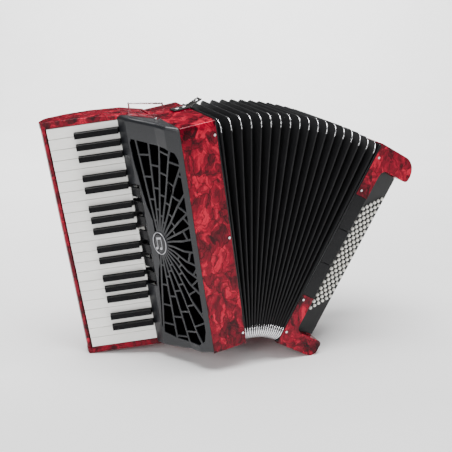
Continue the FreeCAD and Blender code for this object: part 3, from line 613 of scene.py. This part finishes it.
def hand_strap():
    """A crowned leather strap that bows out from the bass cover, sewn along both edges."""
    corners = []
    for k in range(25):
        share = k / 24
        out = STRAP_END_X + STRAP_BOW * math.sin(math.pi * share) ** 0.8
        corners.append(Vector((out, 121.0, STRAP_LOW + STRAP_REACH * share)))
    path = smooth_path(corners, 4)
    points, faces = strip(path, -AY, 66.0, 2.6, crown=0.9, count=15)
    item = build("hand_strap_leather", points, faces, BASS, "leather")
    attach(item, "bass")
    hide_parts("hand_strap")
    parts = []
    for offset in (-29.5, 29.5):
        raised = [point + AX * 1.35 for point in path]
        parts += stitches(raised, -AY, offset, 6.0, 3.8)
    sewn = build("hand_strap_stitches", *joined(parts), BASS, "leather", material="thread")
    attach(sewn, "bass")


WHEEL_POINTS = 144
WHEEL_CENTRE = (80, 120)
WHEEL_RADIUS = 11.6
WHEEL_BORE = 2.0


def thumb_wheel():
    """The ribbed wheel that tightens the hand strap."""
    turns = [k * math.tau / WHEEL_POINTS for k in range(WHEEL_POINTS)]
    x, y = WHEEL_CENTRE
    rings = []
    for height, shrink in ((392.0, 0.9), (392.8, 0.0), (400.2, 0.0), (401.0, 0.9)):
        ring = []
        for k, turn in enumerate(turns):
            radius = WHEEL_RADIUS + (0.4 if k % 4 < 2 else -0.25) - shrink
            ring.append(Vector((x + radius * math.cos(turn), y + radius * math.sin(turn), height)))
        rings.append(ring)
    inner = [[Vector((x + WHEEL_BORE * math.cos(turn), y + WHEEL_BORE * math.sin(turn),
                      height)) for turn in turns]
             for height in (401.0, 392.0)]
    points, faces = loft(rings + inner + [rings[0]], caps=False)
    item = build("strap_wheel_ribbed", points, faces, BASS, "knurled_plastic", smooth=False)
    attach(item, "wheel")
    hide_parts("strap_wheel")


def recess_painted_shade():
    """A near-black strip behind the bass register bars: painted shade that keeps the seams between the bars
    dark.
    """
    corners = [(12.6, 6.5), (26.3, 6.5), (26.3, 7.6), (12.6, 7.6)]
    rings = [[Vector((x, y, z)) for x, y in corners] for z in (104.5, 175.0, 245.0, 315.5)]
    # a dark sheet in the recess stands in for the shade seen through the seams between the bars
    item = build("bar_recess_painted_shade", *loft(rings), BASS, "board_black", smooth=False, material="painted_shade_black")
    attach(item, "bass")


BADGE_HALF = 14.5
BADGE_TALL = 22.0


def badge():
    """A black oval with a silver rim and two joined notes, a generic mark."""
    centre = Vector((31.0, 212.0, 0))

    def oval(margin, height, count=72):
        turns = [k * math.tau / count for k in range(count)]
        return [centre + Vector(((BADGE_HALF - margin) * math.cos(a), (BADGE_TALL - margin) * math.sin(a),
                                 height)) for a in turns]

    disc = loft([oval(14.3, 0.15), oval(1.4, 0.15), oval(1.2, 0.5), oval(1.4, 1.2), oval(7.0, 1.6),
                 oval(14.3, 1.7)])
    item = build("badge_disc", *disc, PANEL, "badge")
    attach(item, "treble")
    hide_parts("grille_badge")
    rings = [oval(*pair) for pair in ((2.0, 0.3), (1.9, 1.8), (1.5, 2.1), (0.5, 2.1), (0.0, 1.7),
                                      (0.0, 0.2), (2.0, 0.3))]
    parts = [loft(rings, caps=False)]
    for x in (-5.0, 4.0):
        head = []
        for height, scale in ((1.3, 1.0), (2.1, 0.95), (2.4, 0.6), (2.45, 0.1)):
            head.append([centre + Vector((x - 1.9 + 3.0 * scale * math.cos(a),
                                          -9.6 + 2.9 * scale * math.sin(a)
                                          + 1.0 * scale * math.cos(a), height))
                         for a in (k * math.tau / 20 for k in range(20))])
        parts.append(loft(head))
        parts.append(loft([[centre + Vector((x + a, y, z)) for a,
                            z in ((0.1, 1.2), (1.3, 1.2), (1.2, 2.2), (0.2, 2.2))]
                           for y in (-8.6, 11.0)]))
    parts.append(loft([[centre + Vector((x, 11.0 + 0.15 * (x + 5) + b, z))
                        for b, z in ((-3.8, 1.2), (0.2, 1.2), (0.1, 2.3), (-3.7, 2.3))] for x in (-4.9,
                                                                                                  5.4)]))
    metal = build("badge_silver_mark", *joined(parts), PANEL, "badge", smooth=False, material="badge_silver")
    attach(metal, "treble")


folds()
end_frames()
metal_corners()
buttons()
bellows_strap()
bottom_strap()
hand_strap()
thumb_wheel()
recess_painted_shade()
badge()

# ---------------------------------------------------------------- CAD nodes that stay

SLOTS = {entry["node"]: entry["material_slot"] for entry in frame["record"]["subparts"]}
BEVELS = {"treble_casing": 0.5, "bass_casing": 0.7, "keyboard_cheeks": 0.9, "keyboard_bed": 0.5,
          "grille_cover": 0.35,
          "bass_button_board": 0.4, "register_frame": 0.3, "cover_studs": 0.5, "bass_cover": 0.8,
          "strap_anchors": 0.5,
          "air_button": 0.8, "treble_bellows_frame": 0.4, "bass_bellows_frame": 0.4}
for name, slot in SLOTS.items():
    bevel = BEVELS.get(name, 0.0)
    if name.startswith("keys_"):
        bevel = 1.4 if "sharp" in name else 1.2
    if name.startswith("treble_register") or name.startswith("bass_register"):
        bevel = 0.6
    dress(name, slot, bevel)

# ---------------------------------------------------------------- floor, light and camera


def floor():
    made = Nodes("floor_paper")
    cloud = made.noise(made.place, 3.0, 4.0)
    made.link(made.ramp(cloud, [(0.3, (0.93, 0.93, 0.93)), (0.7, (0.96, 0.96, 0.96))]),
              made.shader.inputs["Base Color"])
    made.set(Roughness=0.9)
    profile = [(-9.0, 0.0)] + [(2.2 + 1.4 * math.sin(a), 1.4 - 1.4 * math.cos(a))
                               for a in (k * math.pi / 30 for k in range(11))]
    points = [(x, y, z) for x in (-9.0, 9.0) for y, z in profile]
    count = len(profile)
    faces = [(k, k + count, k + count + 1, k + 1) for k in range(count - 1)]
    mesh = bpy.data.meshes.new("floor")
    turn = Matrix.Rotation(-0.42, 4, "Z")
    mesh.from_pydata([turn @ Vector(point) for point in points], [], faces)
    mesh.materials.append(made.material)
    for face in mesh.polygons:
        face.use_smooth = True
    item = bpy.data.objects.new("floor", mesh)
    bpy.context.scene.collection.objects.link(item)


def area_light(name, place, target, size, power):
    data = bpy.data.lights.new(name, "AREA")
    data.shape = "RECTANGLE"
    data.size, data.size_y = size
    data.energy = power
    item = bpy.data.objects.new(name, data)
    item.location = place
    item.rotation_euler = (Vector(target) - Vector(place)).to_track_quat("-Z", "Y").to_euler()
    bpy.context.scene.collection.objects.link(item)


floor()
world = bpy.data.worlds.new("studio")
bpy.context.scene.world = world
world.use_nodes = True
world.node_tree.nodes["Background"].inputs["Color"].default_value = (1, 1, 1, 1)
world.node_tree.nodes["Background"].inputs["Strength"].default_value = 0.16
area_light("overhead", (-0.2, -0.3, 2.3), (0, 0, 0.25), (1.8, 1.2), 95)
area_light("front_left", (-2.0, -1.7, 1.3), (0, 0, 0.25), (1.2, 1.2), 34)
area_light("front_right", (1.4, -2.3, 1.0), (0, 0, 0.25), (0.9, 1.4), 16)
area_light("backdrop", (0.6, 1.4, 2.6), (1.0, 3.4, 0.9), (3.4, 1.6), 260)

AZIMUTH, ELEVATION, DISTANCE = 0.42, 0.32, 1532.7
AIM = Vector((-41.05, 0, 233.55))
CAMERA_LEAN = math.radians(8.28)
ahead = Vector((math.sin(AZIMUTH) * math.cos(ELEVATION), math.cos(AZIMUTH) * math.cos(ELEVATION),
                -math.sin(ELEVATION)))
right = Vector((math.cos(AZIMUTH), -math.sin(AZIMUTH), 0))
upward = right.cross(ahead)
level = basis(AIM - ahead * DISTANCE, right, upward, -ahead)
seat = Matrix.Translation(STAND) @ Matrix.Rotation(LEAN + CAMERA_LEAN, 4, "Y") @ level
seat.translation = seat.translation * MM
camera_data = bpy.data.cameras.new("camera")
camera_data.lens = 70.0
camera_data.sensor_width = 36.0
camera = bpy.data.objects.new("camera", camera_data)
camera.matrix_world = seat
bpy.context.scene.collection.objects.link(camera)
bpy.context.scene.camera = camera
